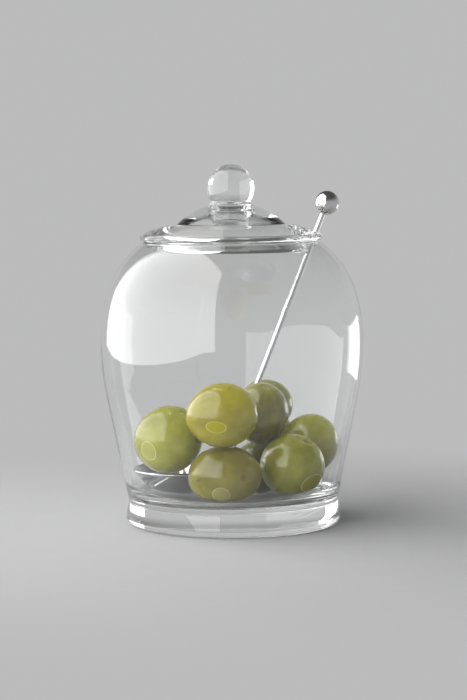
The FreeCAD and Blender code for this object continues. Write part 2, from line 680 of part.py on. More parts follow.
def room_beside(olive, others):
    """The smallest room between an olive and the spoon and the other olives."""
    room = math.inf
    axis = (bowl_place.x, bowl_place.y)
    for middle, radius in olive.balls():
        lifted = middle - Vector(0, 0, bowl_base)
        room = min(room, to_profile(lifted, bowl_points, axis) - radius)
        room = min(room, to_line(middle, rod_foot, ball_place) - rod_radius - radius)
        for other in others:
            for place, width in other.balls():
                room = min(room, middle.distanceToPoint(place) - width - radius)
    return room


def settle(olive, turn, share, others):
    """Puts an olive at a share of the way to the jar's wall, as low as what is there leaves room."""
    outward = plan(turn - 90.0)
    gap = size("olive_gap")

    def fits_at(height):
        low, high = 0.0, size("belly_radius")
        for _ in range(12):
            reach = (low + high) / 2.0
            olive.place = outward * reach + Vector(0, 0, height)
            if room_at_wall(olive) > gap:
                low = reach
            else:
                high = reach
        olive.place = outward * (low * share) + Vector(0, 0, height)
        return room_at_wall(olive) > gap * 0.9 and room_beside(olive, others) > gap

    high = size("floor_height") + olive.half
    while not fits_at(high):
        high += 1.0
    low = high - 1.0
    for _ in range(7):
        height = (low + high) / 2.0
        if fits_at(height):
            high = height
        else:
            low = height
    fits_at(high)


def make_olive(olive):
    """One outline turned round the olive's length, with a small hollow where the stem was."""
    name, half, length = olive.name, olive.half, olive.length
    body = doc.addObject("PartDesign::Body", name)
    draw = Outline(body, "OliveOutline", "XZ_Plane")
    skin, long, short = draw.oval((length / 2.0, 0.0), length / 2.0, half)
    spine = draw.line((0, 0), (length, 0))
    draw.meet((spine, START, skin, END), (spine, END, skin, START), (spine, START) + ORIGIN)
    draw.rule("PointOnObject", spine, END, ALONG)
    draw.rule("PointOnObject", skin, MIDDLE, ALONG)
    draw.rule("PointOnObject", long, START, ALONG)
    draw.measure("DistanceX", ORIGIN + (spine, END), length, f"Sizes.{name}_girth + Sizes.{name}_longer")
    draw.measure("DistanceY", ORIGIN + (short, START), half, f"Sizes.{name}_girth / 2")
    revolve(body, draw, "H_Axis")
    doc.recompute()
    whole = body.Shape.Volume

    ball = size("scar_ball")
    back = ball - size("scar_depth")
    cut = Outline(body, "StemHollow", "XZ_Plane")
    bite = cut.arc((-back, 0), ball, 0, 180)
    chord = cut.line((-back - ball, 0), (-back + ball, 0))
    cut.meet((bite, END, chord, START), (bite, START, chord, END))
    cut.rule("PointOnObject", chord, START, ALONG)
    cut.rule("PointOnObject", chord, END, ALONG)
    cut.rule("PointOnObject", bite, MIDDLE, ALONG)
    cut.measure("Radius", (bite,), ball, "Sizes.scar_ball")
    cut.measure("DistanceX", (bite, MIDDLE) + ORIGIN, back, "Sizes.scar_ball - Sizes.scar_depth")
    hollow = body.newObject("PartDesign::Groove", "Hollow")
    hollow.Profile = cut.sketch
    hollow.ReferenceAxis = (cut.sketch, ["H_Axis"])
    hollow.Angle = 360
    doc.recompute()
    assert body.Shape.Volume < whole, "the stem hollow cuts nothing"
    body.Placement = Placement(olive.place - olive.way * (length / 2.0), Rotation(Vector(1, 0, 0), olive.way))
    return body


resting = []
olives = []
for olive_name, _, _, turn, share, stem_turn, stem_rise in OLIVES:
    olive = Oval(olive_name)
    level = plan(stem_turn - 90.0)
    rise = math.radians(stem_rise)
    olive.way = level * -math.cos(rise) - Vector(0, 0, math.sin(rise))
    settle(olive, turn, share, resting)
    resting.append(olive)
    olives.append(make_olive(olive))
doc.recompute()


# ---------------------------------------------------------------- checks and files

for thing in doc.Objects:
    if {"Invalid", "Error"} & set(thing.State):
        raise RuntimeError(f"{thing.Label} has failed: {thing.State}")
    if thing.isDerivedFrom("Sketcher::SketchObject") and not thing.FullyConstrained:
        raise RuntimeError(f"{thing.Label} isn't fully constrained")

pieces = [jar, lid, bowl, rod, ball] + olives
for piece in pieces:
    if piece.Shape.isNull() or not piece.Shape.isValid() or len(piece.Shape.Solids) != 1:
        raise RuntimeError(f"{piece.Label} isn't one sound solid")

os.makedirs("parts", exist_ok=True)
for piece in pieces:
    piece.Shape.exportStep(f"parts/{piece.Label}.step")
    print(f"{piece.Label}: {piece.Shape.Volume / 1000.0:.2f} cubic centimetres")
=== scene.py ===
# %% [markdown]
# # A glass jar of big green olives
#
# The jar, its lid and the spoon are exact solids from a CAD program, and they are already where
# they belong. Here they get glass and polished steel. Two kinds of piece are made again. The
# olives, which are plain ovals in the solids, become fruit: uneven, wet and blotched. The spoon's
# bowl gets a rolled edge. Everything is in metres, +Z is up and the jar stands on the origin.

# %% Load the solids
import math

import bpy
import numpy as np
from mathutils import Matrix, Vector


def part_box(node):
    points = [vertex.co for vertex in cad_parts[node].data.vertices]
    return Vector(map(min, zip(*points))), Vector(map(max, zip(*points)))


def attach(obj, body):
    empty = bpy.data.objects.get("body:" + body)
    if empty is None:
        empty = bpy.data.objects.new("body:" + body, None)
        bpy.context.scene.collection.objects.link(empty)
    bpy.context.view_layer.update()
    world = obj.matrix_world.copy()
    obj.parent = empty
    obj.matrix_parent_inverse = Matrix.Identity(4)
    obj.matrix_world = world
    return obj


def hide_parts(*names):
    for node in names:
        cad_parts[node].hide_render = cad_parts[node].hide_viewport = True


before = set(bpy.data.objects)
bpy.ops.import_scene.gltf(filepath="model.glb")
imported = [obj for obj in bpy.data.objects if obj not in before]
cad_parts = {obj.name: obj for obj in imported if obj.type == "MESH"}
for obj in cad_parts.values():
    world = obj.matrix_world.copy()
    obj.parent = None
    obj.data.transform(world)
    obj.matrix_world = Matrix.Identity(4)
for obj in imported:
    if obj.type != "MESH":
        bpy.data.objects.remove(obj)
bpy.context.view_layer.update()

scene = bpy.context.scene
scene.view_settings.view_transform = "Standard"
scene.cycles.max_bounces = scene.cycles.transmission_bounces = 24
scene.cycles.glossy_bounces = 12
MM = 0.001
print("solids:", sorted(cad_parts))


# %% [markdown]
# ## Writing down a material
#
# Every finish below is a small graph of nodes. Writing node code in full is long-winded, so these
# helpers take a node's type, its settings and what feeds each socket, and return the node or the
# output that the next node reads.

# %% Helpers for materials
def start_material(name):
    """A new material with an empty graph and its output node."""
    made = bpy.data.materials.new(name)
    made.use_nodes = True
    made.node_tree.nodes.clear()
    return made, made.node_tree.nodes.new("ShaderNodeOutputMaterial")


def node(graph, kind, settings=None, **feeds):
    """A node of that kind, with its feeds by socket.

    A feed is a number, a colour or another node's output. Its key is the socket's name with _ for
    a space, or _ and the socket's number.
    """
    made = graph.nodes.new("ShaderNode" + kind)
    for key, value in (settings or {}).items():
        setattr(made, key, value)
    for key, value in feeds.items():
        socket = made.inputs[int(key[1:])] if key[0] == "_" else made.inputs[key.replace("_", " ")]
        if isinstance(value, bpy.types.NodeSocket):
            graph.links.new(value, socket)
        else:
            socket.default_value = value
    return made


def place(graph):
    """Where a point is on the object, in metres: a pattern that reads this stays on the piece."""
    return node(graph, "TexCoord").outputs["Object"]


def ramp(graph, feed, low, high, first=(0, 0, 0, 1), last=(1, 1, 1, 1)):
    """Turns a number into a colour: first up to low, last from high on, and a blend between."""
    made = node(graph, "ValToRGB", Fac=feed)
    stops = made.color_ramp.elements
    stops[0].position, stops[1].position = low, high
    stops[0].color, stops[1].color = first, last
    return made.outputs["Color"]


def mix(graph, share, first, last):
    """A mix of two colours, by a share that may be a number or another node's output."""
    return node(graph, "Mix", {"data_type": "RGBA", "blend_type": "MIX", "clamp_result": True},
                _0=share, _6=first, _7=last).outputs[2]


def sum_of(graph, operation, *values):
    """The result of one sum, such as ADD or GREATER_THAN, on numbers or other nodes' outputs."""
    feeds = {f"_{index}": value for index, value in enumerate(values)}
    return node(graph, "Math", {"operation": operation}, **feeds).outputs[0]


# %% [markdown]
# ## Clear glass
#
# Glass has next to no colour of its own: what shows is what it bends and mirrors. The shader only
# needs the right index of refraction, 1.5, and a skin that isn't dead flat, because blown glass
# has slow waves in it that make reflections swim. The waves are a soft noise that tilts the
# surface a little, and a finer noise leaves faint haze in places. Real glass also lets most light
# through to what stands in it, but a ray tracer draws the shadow of glass as black unless told not
# to, so for shadow rays the shader is nearly clear.

# %% The glass
def make_glass(name, waves):
    """Clear glass with slow waves. Waves is how far they tilt the skin."""
    made, out = start_material(name)
    graph = made.node_tree
    swell = node(graph, "TexNoise", Vector=place(graph), Scale=22.0, Detail=1.0).outputs["Fac"]
    tilt = node(graph, "Bump", Strength=waves, Distance=0.001, Height=swell).outputs["Normal"]
    haze = node(graph, "TexNoise", Vector=place(graph), Scale=140.0, Detail=3.0).outputs["Fac"]
    rough = node(graph, "MapRange", Value=haze, From_Min=0.55, From_Max=0.8,
                 To_Min=0.0, To_Max=0.012)
    glass = node(graph, "BsdfPrincipled", Base_Color=(0.985, 0.99, 0.99, 1), IOR=1.5,
                 Transmission_Weight=1.0, Roughness=rough.outputs["Result"], Normal=tilt)
    clear = node(graph, "BsdfTransparent", Color=(0.96, 0.97, 0.97, 1))
    shadow = node(graph, "LightPath").outputs["Is Shadow Ray"]
    both = node(graph, "MixShader", _0=shadow, _1=glass.outputs[0], _2=clear.outputs[0])
    graph.links.new(both.outputs[0], out.inputs["Surface"])
    return made


jar_glass = make_glass("blown_glass", 0.10)
lid_glass = make_glass("pressed_glass", 0.16)
print("glass:", jar_glass.name, lid_glass.name)


# %% [markdown]
# ## Polished steel
#
# The spoon is bright stainless steel. Polish leaves hair-fine scratches, which show as a slight
# softening of the mirror, so roughness varies between a little and twice that, and a very fine
# noise tilts the surface by a hair and breaks the reflection up.

# %% The steel
def make_steel(name):
    """Bright polished steel with very fine, faint scratches."""
    made, out = start_material(name)
    graph = made.node_tree
    wear = node(graph, "TexNoise", Vector=place(graph), Scale=260.0, Detail=4.0).outputs["Fac"]
    rough = node(graph, "MapRange", Value=wear, From_Min=0.3, From_Max=0.75,
                 To_Min=0.09, To_Max=0.17)
    lines = node(graph, "TexNoise", Vector=place(graph), Scale=2400.0, Detail=2.0).outputs["Fac"]
    tilt = node(graph, "Bump", Strength=0.05, Distance=0.0001, Height=lines).outputs["Normal"]
    steel = node(graph, "BsdfPrincipled", Base_Color=(0.66, 0.66, 0.67, 1), Metallic=1.0,
                 Roughness=rough.outputs["Result"], Normal=tilt)
    graph.links.new(steel.outputs[0], out.inputs["Surface"])
    return made


steel = make_steel("polished_steel")


def dress(piece, finish):
    """Gives a piece one material in place of those it came with."""
    piece.data.materials.clear()
    piece.data.materials.append(finish)


dress(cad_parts["jar"], jar_glass)
dress(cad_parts["lid"], lid_glass)
for part in ("spoon_rod", "spoon_ball"):
    dress(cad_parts[part], steel)
print("steel:", steel.name, "on the rod and the ball")


# %% [markdown]
# ## From a grid of points to a surface
#
# Every new piece here is round in one direction, so its points make rings. The rings become a mesh
# of four-sided faces, closed by a fan of triangles at each end. Which way the faces point depends
# on the order of the points, so the volume is worked out with its sign: where it comes out below
# nought the surface is inside out, and the order is turned round.

# %% A closed surface from rings
def closed_skin(name, rings, first, last):
    """A mesh from rings of points, each the same length, closed by one point at either end.

    The signed volume is the sum over the triangles of (a x b) . c / 6, where a, b and c are the
    corners seen from the mean of all points.
    """
    count, around = rings.shape[:2]
    points = np.concatenate((rings.reshape(-1, 3), [first], [last]))
    row, column = np.meshgrid(np.arange(count - 1), np.arange(around), indexing="ij")
    after = (column + 1) % around
    quads = np.stack((row * around + column, row * around + after,
                      (row + 1) * around + after, (row + 1) * around + column), -1).reshape(-1, 4)
    start, turn = count * around, np.arange(around)
    fan = np.stack((np.full(around, start), (turn + 1) % around, turn), -1)
    tail = (count - 1) * around
    end_fan = np.stack((np.full(around, start + 1), tail + turn,
                        tail + (turn + 1) % around), -1)
    thirds = np.concatenate((quads[:, :3], quads[:, [0, 2, 3]], fan, end_fan))
    a, b, c = (points[thirds[:, k]] - points.mean(0) for k in range(3))
    volume = np.einsum("ij,ij->i", np.cross(a, b), c).sum() / 6
    faces = [part[:, ::-1] if volume < 0 else part for part in (quads, fan, end_fan)]
    mesh = bpy.data.meshes.new(name)
    mesh.from_pydata(points.tolist(), [], [face for part in faces for face in part.tolist()])
    mesh.polygons.foreach_set("use_smooth", np.ones(len(mesh.polygons), bool))
    mesh.update()
    made = bpy.data.objects.new(name, mesh)
    scene.collection.objects.link(made)
    print(name, "holds", round(abs(volume) * 1e6, 2), "cubic cm")
    return made


def turned(name, r, z, middle, around):
    """A profile turned about an upright line. The profile starts and ends on that line."""
    q = np.linspace(0, 2 * math.pi, around, endpoint=False)
    r, z = np.asarray(r, float)[:, None], np.asarray(z, float)[:, None]
    rings = np.stack((r * np.cos(q), r * np.sin(q), z + 0 * q), -1) + np.asarray(middle, float)
    return closed_skin(name, rings[1:-1], rings[0].mean(0), rings[-1].mean(0))


# %% [markdown]
# ## The spoon's bowl
#
# An olive spoon has a shallow round bowl pressed from sheet, and the edge of the sheet is rolled
# to a smooth bead, which catches the light as a bright line. The solid has the edge cut flat, so
# the bowl is turned again here from the solid's own size with the bead put on: an outer arc, two
# thirds of a small circle for the bead, and an inner arc one sheet's thickness away.

# %% The bowl
SHEET, BEAD = 1.0 * MM, 0.63 * MM            # the sheet's thickness and the bead's radius


def make_bowl(sheet, bead):
    """A dish with a rolled edge. Its radius and depth are the solid's.

    Outer sphere: R = (radius^2 + depth^2) / (2 depth), and the inner one is a sheet smaller.
    """
    low, high = (np.array(corner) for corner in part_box("spoon_bowl"))
    radius, depth = (high[0] - low[0]) / 2, high[2] - low[2]
    sphere = (radius ** 2 + depth ** 2) / (2 * depth)
    bead_r, bead_z = radius - bead, depth - bead
    out = np.linspace(0, math.acos(1 - (bead_z - bead) / sphere), 60)
    roll = np.radians(np.linspace(-95, 150, 28))
    back = np.linspace(math.acos((sphere - bead_z) / (sphere - sheet)), 0, 60)
    r = np.concatenate((sphere * np.sin(out), bead_r + bead * np.cos(roll),
                        (sphere - sheet) * np.sin(back)))
    z = np.concatenate((sphere * (1 - np.cos(out)), bead_z + bead * np.sin(roll),
                        sphere - (sphere - sheet) * np.cos(back)))
    r[0] = r[-1] = 0
    made = turned("dish", r, z, ((low[0] + high[0]) / 2, (low[1] + high[1]) / 2, low[2]), 180)
    made.data.materials.append(steel)
    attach(made, "root")
    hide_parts("spoon_bowl")
    print("bowl across", round(2 * radius / MM, 1), "deep", round(depth / MM, 1), "mm")


make_bowl(SHEET, BEAD)


# %% [markdown]
# ## The shape of an olive
#
# A table olive is close to an oval turned round its length. It could be a sculpted sphere, but a
# formula is exact and easy to change: one parameter runs from the stem end to the tip and the
# other round the fruit. What makes it fruit is what spoils the oval: slow lumps, a dimple where
# the stem sat, and a tip that is a little drawn in. All of these go inwards, so an olive never
# leaves the room that its solid holds between the glass and its neighbours.
#
# The solid gives the place. Its vertices spread furthest along the fruit's length, which the
# eigenvectors of their covariance give, and the rough way in each olive's row says which end is the
# stem end.

# %% Where each olive lies
def solid_points(name):
    """The vertices of a solid as an array."""
    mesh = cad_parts[name].data
    found = np.zeros(len(mesh.vertices) * 3, np.float32)
    mesh.vertices.foreach_get("co", found)
    return np.unique(found.reshape(-1, 3).round(7), axis=0).astype(float)


def lie_of(name, towards):
    """Middle, half length, half girth and three axes of an olive's solid.

    The first axis is the long one, and points the same way as the rough direction `towards`.
    """
    points = solid_points(name)
    middle = (points.max(0) + points.min(0)) / 2
    rough_way = np.array(towards, float)
    _, ways = np.linalg.eigh(np.cov((points - middle).T))
    long_way = max(ways.T, key=lambda way: abs(way @ rough_way))
    long_way = long_way * np.sign(long_way @ rough_way)
    along = (points - middle) @ long_way
    across = np.linalg.norm((points - middle) - np.outer(along, long_way), axis=1)
    side = np.cross(long_way, (0, 0, 1.0))
    side /= np.linalg.norm(side)
    axes = long_way, side, np.cross(long_way, side)
    return middle, (along.max() - along.min()) / 2, across.max(), axes


# %% [markdown]
# ## Marks on the skin
#
# Where a wet olive presses on the glass, the air between them is gone and the skin shows through
# as one flat, matt patch, drawn on the skin where it faces the glass. Its green is partly the
# skin's own and partly painted light, lighter than the skin round it, and its thin bright edge is a
# painted highlight. Other marks are small ochre bruises. Each is stored on the vertices as a
# distance from its middle, as a share of its radius. Such a number changes slowly, so that the edge
# that the material draws where it passes 1 is crisp on a mesh of any fineness.

# %% Distances to marks
NO_MARK = 9.0                                # stored where a mark is out of reach


def to_mark(skin, middle, mark):
    """Distance from a mark as a share of its size, for points on an olive.

    A mark is its bearing round from the front and its rise, in degrees, seen from the olive's
    middle, then its half width, half height and turn. Distances are measured in the plane that
    touches the olive there: sqrt((across / width)^2 + (up / height)^2).
    """
    bearing, rise, width, height, turn = mark
    b, r, t = np.radians((bearing, rise, turn))
    out = np.array((math.sin(b) * math.cos(r), -math.cos(b) * math.cos(r), math.sin(r)))
    across = np.array((math.cos(b), math.sin(b), 0.0))
    up = np.cross(out, across)
    from_middle = skin - middle
    x, y = from_middle @ across, from_middle @ up
    x, y = x * math.cos(t) + y * math.sin(t), y * math.cos(t) - x * math.sin(t)
    away = np.hypot(x / (width * MM), y / (height * MM))
    return np.where(from_middle @ out > 0, away, NO_MARK)


# %% [markdown]
# ## Building the fruit
#
# The oval is worked out as rings from the stem end to the tip, and the distances to its marks are
# kept on its vertices as attributes, where the skin's material can read them.

# %% The fruit as rings
LUMPS, DRAWN_IN = 0.016, 0.012               # how far the skin goes in, as shares of its size
DIMPLE, DIMPLE_WIDTH = 0.55 * MM, 0.16       # depth, and width as an angle from the stem end
TIP_WAIST = 0.55                             # where it is drawn in, as an angle from the tip


def store(piece, name, values):
    """Keeps one number for each vertex under a name that materials can read."""
    field = piece.data.attributes.new(name, "FLOAT", "POINT")
    field.data.foreach_set("value", np.asarray(values, np.float32))


def olive_rings(middle, half_length, half_girth, axes, seed, rows=150, around=220):
    """Rings of points round an olive, and its two poles.

    With p from 0 at the stem end to pi at the tip, the oval is x = cos p, r = sin p. Both are
    then made smaller by lumps (slow waves along and round) and by a slight drawing-in just before
    the tip (a bell curve of p). A dimple at the stem end (a bell curve of p with three soft lobes)
    moves the skin there inwards along x.
    """
    rng = np.random.default_rng(seed)
    p = np.linspace(0, math.pi, rows + 2)[:, None]
    q = np.linspace(0, 2 * math.pi, around, endpoint=False)[None, :]
    lump = np.zeros((rows + 2, around))
    for waves in (1, 2, 3, 4):
        phase, lean = rng.uniform(0, 2 * math.pi, 2)
        lump += np.sin(p) * np.cos(waves * q + phase) * np.cos((waves + 1) * p + lean) / waves
    lump = (lump - lump.max()) / (lump.max() - lump.min())
    shrink = 1 + LUMPS * lump - DRAWN_IN * np.exp(-((math.pi - p) / TIP_WAIST - 1) ** 2 * 3)
    dimple = DIMPLE * np.exp(-(p / DIMPLE_WIDTH) ** 2) * (1 + 0.25 * np.cos(3 * q + 1))
    x = half_length * np.cos(p) * shrink - dimple
    r = half_girth * np.sin(p) * shrink
    long_way, side, top = axes
    points = (middle + x[..., None] * long_way + (r * np.cos(q))[..., None] * side
              + (r * np.sin(q))[..., None] * top)
    return points[1:-1], points[0].mean(0), points[-1].mean(0), p[1:-1] + 0 * q


# %% [markdown]
# ## The skin of an olive
#
# A cured olive is waxy and a little see-through: light goes in and comes out softer and yellower,
# which is what subsurface scattering is for. Over that lies a film of brine, a thin clear coat.
# The green isn't even. Broad clouds shift it between two greens, darker streaks run through it,
# fine pale pores dot it, and bruises are ochre. The patch on the glass has a green of its own,
# partly painted light, and a pale edge that is a painted highlight, and is matt, nearly without the
# wet coat.

# %% Olive skin
OCHRE = (0.125, 0.085, 0.001, 1)
BLACK, WHITE = (0, 0, 0, 1), (1, 1, 1, 1)


def grey(level):
    """A grey of that level, which as a share lets that much of a colour in."""
    return level, level, level, 1


def shade(colour, red, green, blue):
    """A colour with each of its parts made that many times as strong."""
    return colour[0] * red, colour[1] * green, colour[2] * blue, 1


def make_skin(name, green, pale, patch, edge_highlight):
    """Skin in two greens with pores, ochre bruises and a matt patch where it touches the glass."""
    made, out = start_material(name)
    graph = made.node_tree
    spot = place(graph)
    clouds = node(graph, "TexNoise", Vector=spot, Scale=95.0, Detail=3.0,
                  Roughness=0.55).outputs["Fac"]
    colour = mix(graph, ramp(graph, clouds, 0.34, 0.68), green, pale)
    streaks = node(graph, "TexNoise", Vector=spot, Scale=330.0, Detail=4.0,
                   Roughness=0.6).outputs["Fac"]
    dark = ramp(graph, streaks, 0.40, 0.75, BLACK, grey(0.35))
    colour = mix(graph, dark, colour, shade(green, 0.72, 0.74, 0.6))
    pores = node(graph, "TexVoronoi", Vector=spot, Scale=820.0, Randomness=1.0).outputs["Distance"]
    dots = ramp(graph, pores, 0.10, 0.26, grey(0.30), BLACK)
    colour = mix(graph, dots, colour, shade(pale, 1.25, 1.2, 1.3))

    bruise = node(graph, "Attribute", {"attribute_name": "bruise"}).outputs["Fac"]
    ragged = sum_of(graph, "MULTIPLY_ADD", streaks, 0.5, bruise)
    colour = mix(graph, ramp(graph, ragged, 0.80, 1.30, grey(0.85), BLACK), colour, OCHRE)
    stem = node(graph, "Attribute", {"attribute_name": "stem"}).outputs["Fac"]
    colour = mix(graph, ramp(graph, stem, 0.45, 1.0, grey(0.6), BLACK),
                 colour, shade(green, 0.75, 0.55, 0.8))

    # The patch on the glass: its green is partly painted light, and the pale line round it is a
    # painted highlight.
    touch = node(graph, "Attribute", {"attribute_name": "touch"}).outputs["Fac"]
    inside = ramp(graph, touch, 0.94, 1.0, WHITE, BLACK)
    colour = mix(graph, inside, colour, patch)
    past = sum_of(graph, "SUBTRACT", touch, 1.0)
    off_edge = sum_of(graph, "ABSOLUTE", past)
    colour = mix(graph, ramp(graph, off_edge, 0.02, 0.07, grey(0.9), BLACK), colour, edge_highlight)

    wet = node(graph, "MapRange", Value=clouds, From_Min=0.3, From_Max=0.7,
               To_Min=0.22, To_Max=0.34)
    rough = mix(graph, inside, wet.outputs["Result"], grey(0.75))
    coat = sum_of(graph, "MULTIPLY_ADD", inside, -0.95, 0.95)
    tilt = node(graph, "Bump", Strength=0.22, Distance=0.0002, Height=streaks).outputs["Normal"]
    skin = node(graph, "BsdfPrincipled", Base_Color=colour, Roughness=rough, Normal=tilt,
                Subsurface_Weight=0.20, Subsurface_Radius=(1.0, 0.85, 0.25),
                Subsurface_Scale=0.0022, Coat_Weight=coat, Coat_Roughness=0.04, Coat_IOR=1.62,
                Specular_IOR_Level=0.15)
    graph.links.new(skin.outputs[0], out.inputs["Surface"])
    return made


# %% [markdown]
# ## Nine olives
#
# Each row says what only that olive has: roughly which way its stem end points, its two greens,
# the patch where it touches the glass, and its bruises. The greens are linear colours. A patch
# and a bruise are marks: bearing, rise, half width, half height (both in mm) and turn.

# %% The olives
STEM_SCAR = 0.14                             # where the darker stem end stops, as an angle

OLIVES = {
    "olive_front": dict(stem=(-1, 0.1, -0.1), green=(0.21, 0.18, 0.012), pale=(0.32, 0.285, 0.028),
                        patch=(-8, -31, 3.3, 3.3, 0), patch_green_and_light=(0.34, 0.315, 0.105),
                        bruises=((-51, -2, 1.9, 0.9, 20), (34, 3, 1.7, 2.1, 0))),
    # The floor olive's two greens are kept very dark as painted shade: it lies low between the
    # others, where little light reaches.
    "olive_floor": dict(stem=(0, 1, 0.1), green=(0.09, 0.085, 0.008), pale=(0.15, 0.145, 0.015)),
    "olive_right": dict(stem=(0.3, -0.5, 0.8), green=(0.20, 0.197, 0.008),
                        pale=(0.36, 0.352, 0.032), patch=(43, -30, 4.7, 4.2, 14),
                        patch_green_and_light=(0.31, 0.30, 0.015),
                        bruises=((-58, -1, 0.9, 2.2, 0), (-38, -42, 1.0, 0.8, 0))),
    "olive_back": dict(stem=(0.1, -0.1, 1), green=(0.22, 0.21, 0.04), pale=(0.32, 0.31, 0.08)),
    "olive_side": dict(stem=(0.2, 1, 0.3), green=(0.205, 0.20, 0.015), pale=(0.36, 0.352, 0.042)),
    "olive_spoon": dict(stem=(0.4, -0.3, 0.9), green=(0.27, 0.27, 0.012), pale=(0.44, 0.44, 0.055),
                        patch=(-35, -14, 3.2, 3.8, 12), patch_green_and_light=(0.45, 0.45, 0.11)),
    "olive_top": dict(stem=(1, -0.1, 0.1), green=(0.30, 0.25, 0.002), pale=(0.40, 0.355, 0.008),
                      patch=(-11.5, -16, 3.8, 2.3, -5), patch_green_and_light=(0.42, 0.38, 0.002)),
    "olive_middle": dict(stem=(0.1, -0.4, 0.9), green=(0.12, 0.11, 0.012),
                         pale=(0.29, 0.275, 0.065)),
    "olive_far": dict(stem=(1, 0.2, -0.1), green=(0.20, 0.195, 0.04), pale=(0.29, 0.285, 0.085)),
}


def grow_olive(name, facts, seed):
    """An olive in place of its solid, with its own skin."""
    middle, half_length, half_girth, axes = lie_of(name, facts["stem"])
    rings, first, last, p = olive_rings(middle, half_length, half_girth, axes, seed)
    made = closed_skin(name.replace("olive", "fruit"), rings, first, last)
    skin = np.concatenate((rings.reshape(-1, 3), [first], [last]))
    no_mark = np.full(len(skin), NO_MARK)
    store(made, "touch", to_mark(skin, middle, facts["patch"]) if "patch" in facts else no_mark)
    bruises = [to_mark(skin, middle, mark) for mark in facts.get("bruises", ())]
    store(made, "bruise", np.min(bruises, axis=0) if bruises else no_mark)
    store(made, "stem", np.concatenate((p.ravel(), [0.0, math.pi])) / STEM_SCAR)
    # The patch's green holds painted light, and its edge colour, lighter still, is a painted
    # highlight.
    patch = facts.get("patch_green_and_light", facts["pale"])
    edge_highlight = tuple(min(1.0, c * 1.15 + 0.22) for c in patch)
    finish = make_skin("skin_of_" + name, (*facts["green"], 1), (*facts["pale"], 1),
                       (*patch, 1), (*edge_highlight, 1))
    made.data.materials.append(finish)
    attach(made, "root")
    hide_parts(name)
    print(made.name, "length", round(2 * half_length / MM, 1),
          "girth", round(2 * half_girth / MM, 1), "mm")


for seed, (name, facts) in enumerate(OLIVES.items()):
    grow_olive(name, facts, seed)


# %% [markdown]
# ## Air in the glass
#
# Where the knob was pressed on to the lid, a little air stayed behind: a flat bubble drawn up to a
# point in the middle. Two seeds, as a glassblower calls stray small bubbles, sit in the rim. What
# shows of a bubble is its skin, a bright ring with the room upside down in it, and any small closed
# surface of glass inside the glass draws that, so each bubble is one, turned from a profile.

# %% Bubbles
KNOB_ROOT = 16.4 * MM                        # from the knob's top down to the bubble's widest ring


def make_bubble(name, middle, radius, profile):
    """A bubble turned about an upright line. Its profile is r and z as shares of the radius."""
    r, z = np.array(profile, float).T
    knots, t = np.arange(len(profile)), np.linspace(0, len(profile) - 1, 50)
    made = turned(name, np.interp(t, knots, r) * radius, np.interp(t, knots, z) * radius,
                  middle, 48)
    made.data.materials.append(lid_glass)
    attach(made, "root")


round_drop = [(math.sin(a), math.cos(a)) for a in np.linspace(0, math.pi, 17)]
hat = [(0, 0.78), (0.06, 0.75), (0.17, 0.58), (0.33, 0.34), (0.55, 0.16), (0.85, 0.07),
       (1.0, 0.0), (0.96, -0.05), (0.6, -0.07), (0, -0.08)]
lid_low, lid_high = (np.array(corner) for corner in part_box("lid"))
make_bubble("air_under_knob", (0, 0, lid_high[2] - KNOB_ROOT), 3.4 * MM, hat)
make_bubble("seed_large", (6.2 * MM, -27.4 * MM, lid_low[2] + 9.2 * MM), 0.75 * MM, round_drop)
make_bubble("seed_small", (11.0 * MM, -29.0 * MM, lid_low[2] + 8.2 * MM), 0.5 * MM, round_drop)


# %% [markdown]
# ## Floor
#
# The jar stands on pale paper. Close to the jar the paper is lit by the lamps and takes its
# shadow. Lamps can't light paper evenly out to the horizon, so further off what the eye, a mirror
# or a pane of glass sees there fades into one pale tone, the same as the room behind. Light Path
# picks the rays that see this tone: those from the eye, from a mirror or through glass.

# %% The floor
PALE = 0.50                                  # the room's tone
FLOOR_REACH = 4.0
FADE_FROM, FADE_TO = 0.08, 0.27              # metres from the jar's axis


def tone_of(red_green, blue):
    """A pale tone, nearly grey, with its blue given apart."""
    return red_green, red_green, blue, 1


def seen_rays(graph):
    """One for rays that come from the eye, a mirror or through glass, and nought for the rest."""
    rays = node(graph, "LightPath").outputs
    first = sum_of(graph, "MAXIMUM", rays["Is Camera Ray"], rays["Is Glossy Ray"])
    return sum_of(graph, "MAXIMUM", first, rays["Is Transmission Ray"])


def make_paper(name):
    """Pale paper that fades into the room's tone far from the middle."""
    made, out = start_material(name)
    graph = made.node_tree
    where = place(graph)
    fibre = node(graph, "TexNoise", Vector=where, Scale=90.0, Detail=4.0).outputs["Fac"]
    tone = ramp(graph, fibre, 0.3, 0.7, tone_of(PALE * 0.90, PALE * 0.905),
                tone_of(PALE * 0.92, PALE * 0.925))
    sheet = node(graph, "BsdfPrincipled", Base_Color=tone, Roughness=0.9, Specular_IOR_Level=0.1)
    glow = node(graph, "Emission", Color=tone_of(PALE, PALE * 1.005), Strength=1.0)
    far = node(graph, "VectorMath", {"operation": "LENGTH"}, _0=where).outputs["Value"]
    share = node(graph, "MapRange", {"interpolation_type": "SMOOTHERSTEP"}, Value=far,
                 From_Min=FADE_FROM, From_Max=FADE_TO).outputs["Result"]
    share = sum_of(graph, "MULTIPLY", share, seen_rays(graph))
    both = node(graph, "MixShader", _0=share, _1=sheet.outputs[0], _2=glow.outputs[0])
    graph.links.new(both.outputs[0], out.inputs["Surface"])
    return made


floor_mesh = bpy.data.meshes.new("floor")
floor_mesh.from_pydata([(x * FLOOR_REACH, y * FLOOR_REACH, 0)
                        for x, y in ((-1, -1), (1, -1), (1, 1), (-1, 1))], [], [(0, 1, 2, 3)])
floor = bpy.data.objects.new("floor", floor_mesh)
scene.collection.objects.link(floor)
floor.data.materials.append(make_paper("pale_paper"))
print("floor reaches", FLOOR_REACH, "m and fades by", FADE_TO, "m")


